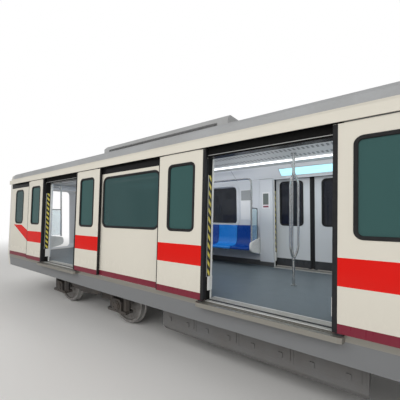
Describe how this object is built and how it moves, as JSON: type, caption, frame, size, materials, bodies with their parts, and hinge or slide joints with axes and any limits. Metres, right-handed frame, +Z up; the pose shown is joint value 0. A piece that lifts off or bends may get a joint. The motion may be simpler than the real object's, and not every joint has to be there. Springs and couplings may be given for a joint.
{
  "type": "metro car",
  "caption": "Intermediate metro car with outside-hung sliding doors, a gangway at each end, seats along the walls and two bogies.",
  "frame": {"origin": "middle of the car on the level that the wheels' flanges stand on", "axes": "+X along the train to the front end, +Z up, -Y to the near side, whose doors stand open"},
  "size_m": [19.95, 3.275, 3.7968],
  "materials": {
    "cream_paint": "satin",
    "roof_grey": "satin",
    "steel_grey": "matt",
    "case_grey": "satin",
    "cast_grey": "matt",
    "bogie_grey": "matt",
    "wheel_steel": "satin",
    "bellows_grey": "matt",
    "pale_panel": "satin",
    "seat_blue": "gloss",
    "bright_steel": "polished"
  },
  "bodies": {
    "carbody": {"side_wall_near": "cream_paint", "bench_near_1": "seat_blue", "bench_near_2": "seat_blue", "bench_near_3": "seat_blue", "bench_near_4": "seat_blue", "bench_near_5": "seat_blue", "side_wall_far": "cream_paint", "bench_far_1": "seat_blue", "bench_far_2": "seat_blue", "bench_far_3": "seat_blue", "bench_far_4": "seat_blue", "bench_far_5": "seat_blue", "end_wall_front": "cream_paint", "gangway_front": "bellows_grey", "roof_cooler_front": "roof_grey", "coupling_pocket_front": "cast_grey", "centre_pin_front": "steel_grey", "end_wall_rear": "cream_paint", "gangway_rear": "bellows_grey", "roof_cooler_rear": "roof_grey", "coupling_pocket_rear": "cast_grey", "centre_pin_rear": "steel_grey", "triple_pole_1": "bright_steel", "triple_pole_2": "bright_steel", "triple_pole_3": "bright_steel", "triple_pole_4": "bright_steel", "underframe": "steel_grey", "bearer_frame": "steel_grey", "roof": "roof_grey", "ceiling": "pale_panel", "traction_case": "case_grey", "auxiliary_case": "case_grey", "air_tank": "case_grey"},
    "door_near_1a": {"door_near_1a": "cream_paint"},
    "door_near_1b": {"door_near_1b": "cream_paint"},
    "door_near_2a": {"door_near_2a": "cream_paint"},
    "door_near_2b": {"door_near_2b": "cream_paint"},
    "door_near_3a": {"door_near_3a": "cream_paint"},
    "door_near_3b": {"door_near_3b": "cream_paint"},
    "door_near_4a": {"door_near_4a": "cream_paint"},
    "door_near_4b": {"door_near_4b": "cream_paint"},
    "door_far_1a": {"door_far_1a": "cream_paint"},
    "door_far_1b": {"door_far_1b": "cream_paint"},
    "door_far_2a": {"door_far_2a": "cream_paint"},
    "door_far_2b": {"door_far_2b": "cream_paint"},
    "door_far_3a": {"door_far_3a": "cream_paint"},
    "door_far_3b": {"door_far_3b": "cream_paint"},
    "door_far_4a": {"door_far_4a": "cream_paint"},
    "door_far_4b": {"door_far_4b": "cream_paint"},
    "coupling_bar_front": {"coupling_bar_front": "cast_grey"},
    "bogie_front": {"bogie_front": "bogie_grey"},
    "wheelset_front_outer": {"wheelset_front_outer": "wheel_steel"},
    "wheelset_front_inner": {"wheelset_front_inner": "wheel_steel"},
    "coupling_bar_rear": {"coupling_bar_rear": "cast_grey"},
    "bogie_rear": {"bogie_rear": "bogie_grey"},
    "wheelset_rear_outer": {"wheelset_rear_outer": "wheel_steel"},
    "wheelset_rear_inner": {"wheelset_rear_inner": "wheel_steel"}
  },
  "joints": [
    {"name": "door_near_1a_slide", "type": "slide", "parent": "carbody", "child": "door_near_1a", "axis": [-1, 0, 0], "range_m": [-0.7, 0]},
    {"name": "door_near_1b_slide", "type": "slide", "parent": "carbody", "child": "door_near_1b", "axis": [1, 0, 0], "range_m": [-0.7, 0]},
    {"name": "door_near_2a_slide", "type": "slide", "parent": "carbody", "child": "door_near_2a", "axis": [-1, 0, 0], "range_m": [-0.7, 0]},
    {"name": "door_near_2b_slide", "type": "slide", "parent": "carbody", "child": "door_near_2b", "axis": [1, 0, 0], "range_m": [-0.7, 0]},
    {"name": "door_near_3a_slide", "type": "slide", "parent": "carbody", "child": "door_near_3a", "axis": [-1, 0, 0], "range_m": [-0.7, 0]},
    {"name": "door_near_3b_slide", "type": "slide", "parent": "carbody", "child": "door_near_3b", "axis": [1, 0, 0], "range_m": [-0.7, 0]},
    {"name": "door_near_4a_slide", "type": "slide", "parent": "carbody", "child": "door_near_4a", "axis": [-1, 0, 0], "range_m": [-0.7, 0]},
    {"name": "door_near_4b_slide", "type": "slide", "parent": "carbody", "child": "door_near_4b", "axis": [1, 0, 0], "range_m": [-0.7, 0]},
    {"name": "door_far_1a_slide", "type": "slide", "parent": "carbody", "child": "door_far_1a", "axis": [-1, 0, 0], "range_m": [0, 0.7]},
    {"name": "door_far_1b_slide", "type": "slide", "parent": "carbody", "child": "door_far_1b", "axis": [1, 0, 0], "range_m": [0, 0.7]},
    {"name": "door_far_2a_slide", "type": "slide", "parent": "carbody", "child": "door_far_2a", "axis": [-1, 0, 0], "range_m": [0, 0.7]},
    {"name": "door_far_2b_slide", "type": "slide", "parent": "carbody", "child": "door_far_2b", "axis": [1, 0, 0], "range_m": [0, 0.7]},
    {"name": "door_far_3a_slide", "type": "slide", "parent": "carbody", "child": "door_far_3a", "axis": [-1, 0, 0], "range_m": [0, 0.7]},
    {"name": "door_far_3b_slide", "type": "slide", "parent": "carbody", "child": "door_far_3b", "axis": [1, 0, 0], "range_m": [0, 0.7]},
    {"name": "door_far_4a_slide", "type": "slide", "parent": "carbody", "child": "door_far_4a", "axis": [-1, 0, 0], "range_m": [0, 0.7]},
    {"name": "door_far_4b_slide", "type": "slide", "parent": "carbody", "child": "door_far_4b", "axis": [1, 0, 0], "range_m": [0, 0.7]},
    {"name": "bogie_front_yaw", "type": "hinge", "parent": "carbody", "child": "bogie_front", "pos_m": [6.3, 0, 0.5915], "axis": [0, 0, 1], "range_deg": [-4, 4]},
    {"name": "coupling_bar_front_swing", "type": "hinge", "parent": "carbody", "child": "coupling_bar_front", "pos_m": [9.105, 0, 0.7365], "axis": [0, 0, 1], "range_deg": [-8, 8]},
    {"name": "wheelset_front_outer_roll", "type": "hinge", "parent": "bogie_front", "child": "wheelset_front_outer", "pos_m": [7.4, 0, 0.44652], "axis": [0, 1, 0], "continuous": true},
    {"name": "wheelset_front_inner_roll", "type": "hinge", "parent": "bogie_front", "child": "wheelset_front_inner", "pos_m": [5.2, 0, 0.44652], "axis": [0, 1, 0], "continuous": true},
    {"name": "bogie_rear_yaw", "type": "hinge", "parent": "carbody", "child": "bogie_rear", "pos_m": [-6.3, 0, 0.5915], "axis": [0, 0, 1], "range_deg": [-4, 4]},
    {"name": "coupling_bar_rear_swing", "type": "hinge", "parent": "carbody", "child": "coupling_bar_rear", "pos_m": [-9.105, 0, 0.7365], "axis": [0, 0, 1], "range_deg": [-8, 8]},
    {"name": "wheelset_rear_outer_roll", "type": "hinge", "parent": "bogie_rear", "child": "wheelset_rear_outer", "pos_m": [-7.4, 0, 0.44652], "axis": [0, 1, 0], "continuous": true},
    {"name": "wheelset_rear_inner_roll", "type": "hinge", "parent": "bogie_rear", "child": "wheelset_rear_inner", "pos_m": [-5.2, 0, 0.44652], "axis": [0, 1, 0], "continuous": true}
  ],
  "couplings": [
    {"joint": "door_near_1b_slide", "follows": "door_near_1a_slide", "ratio": 1},
    {"joint": "door_near_2b_slide", "follows": "door_near_2a_slide", "ratio": 1},
    {"joint": "door_near_3b_slide", "follows": "door_near_3a_slide", "ratio": 1},
    {"joint": "door_near_4b_slide", "follows": "door_near_4a_slide", "ratio": 1},
    {"joint": "door_far_1b_slide", "follows": "door_far_1a_slide", "ratio": 1},
    {"joint": "door_far_2b_slide", "follows": "door_far_2a_slide", "ratio": 1},
    {"joint": "door_far_3b_slide", "follows": "door_far_3a_slide", "ratio": 1},
    {"joint": "door_far_4b_slide", "follows": "door_far_4a_slide", "ratio": 1}
  ]
}
